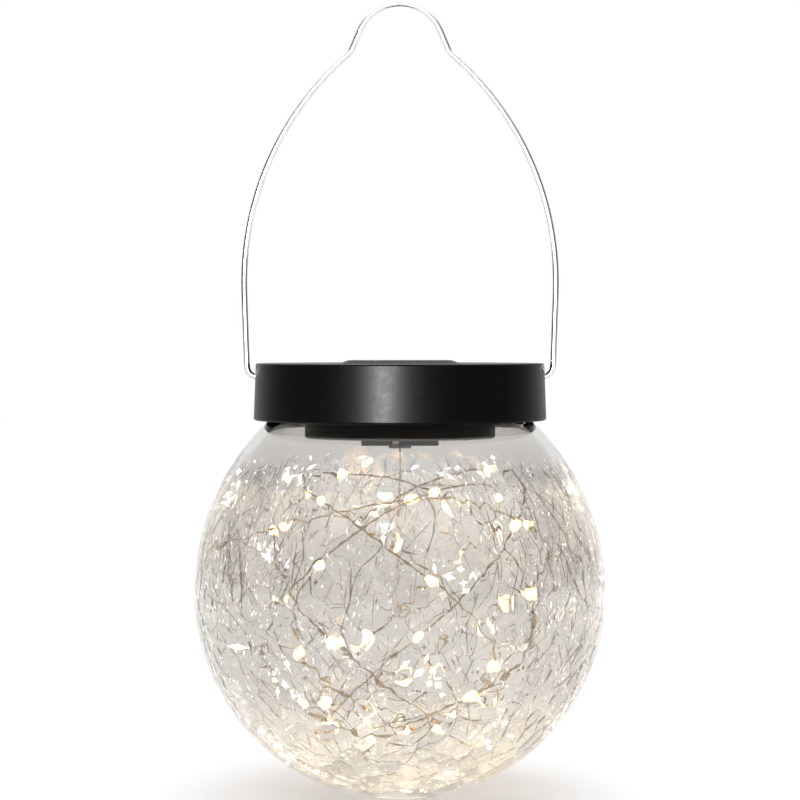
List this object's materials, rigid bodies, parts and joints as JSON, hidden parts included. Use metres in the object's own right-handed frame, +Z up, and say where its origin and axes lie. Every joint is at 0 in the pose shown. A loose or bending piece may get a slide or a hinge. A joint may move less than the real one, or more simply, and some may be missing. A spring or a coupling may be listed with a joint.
{
  "type": "solar jar lantern",
  "caption": "Ball-shaped crackled glass jar lantern with a twist-on solar lid, a humped wire bail and a string of small warm lights inside.",
  "frame": {"origin": "centre of the jar's foot, on the surface that it stands on", "axes": "+Z up along the jar's axis, +X along the bail's hinge line, -Y to the front"},
  "size_m": [0.12, 0.12, 0.2302],
  "materials": {
    "crackle_glass": "clear with internal crackle",
    "black_plastic": "satin moulded",
    "black_rubber": "matt",
    "board_green": "solder mask",
    "solar_silicon": "dark silicon",
    "silver_conductor": "bright",
    "clear_resin": "clear resin",
    "screw_steel": "nickel plated",
    "cell_sleeve": "shrink sleeve",
    "plated_contact": "nickel plated",
    "board_parts": "moulded packages",
    "choke_body": "lacquered",
    "white_plastic": "moulded",
    "copper_wire": "lacquered copper",
    "red_lead": "wire insulation",
    "black_lead": "wire insulation",
    "led_phosphor": "glowing warm white",
    "bright_steel": "bright drawn wire"
  },
  "bodies": {
    "jar": {"glass_jar": "crackle_glass", "string_wire": "copper_wire", "led_beads": "clear_resin", "led_chips": "led_phosphor", "string_end": "black_rubber"},
    "seal": {"lid_seal": "black_rubber"},
    "lid": {"lid_cap": "black_plastic", "solar_backing": "board_green", "solar_cells": "solar_silicon", "solar_fingers": "silver_conductor", "solar_cover": "clear_resin", "battery_housing": "black_plastic", "battery_door": "black_plastic", "door_screw": "screw_steel", "housing_screws": "screw_steel", "battery_cell": "cell_sleeve", "battery_plate": "plated_contact", "battery_spring": "plated_contact", "circuit_board": "board_green", "board_screws": "screw_steel", "board_parts": "board_parts", "board_choke": "choke_body", "switch_body": "plated_contact", "string_gland": "black_rubber", "string_tail": "copper_wire", "red_leads": "red_lead", "black_leads": "black_lead"},
    "switch": {"switch_slider": "white_plastic"},
    "bail": {"bail_wire": "bright_steel"}
  },
  "joints": [
    {"name": "lid_lift", "type": "slide", "parent": "jar", "child": "seal", "axis": [0, 0, 1], "range_m": [0, 0.06]},
    {"name": "lid_turn", "type": "hinge", "parent": "seal", "child": "lid", "pos_m": [0, 0, 0.1197], "axis": [0, 0, -1], "range_deg": [0, 44]},
    {"name": "bail_swing", "type": "hinge", "parent": "lid", "child": "bail", "pos_m": [0, 0, 0.12026], "axis": [1, 0, 0], "range_deg": [-134, 134]},
    {"name": "switch_slide", "type": "slide", "parent": "lid", "child": "switch", "axis": [1, 0, 0], "range_m": [0, 0.0025]}
  ]
}
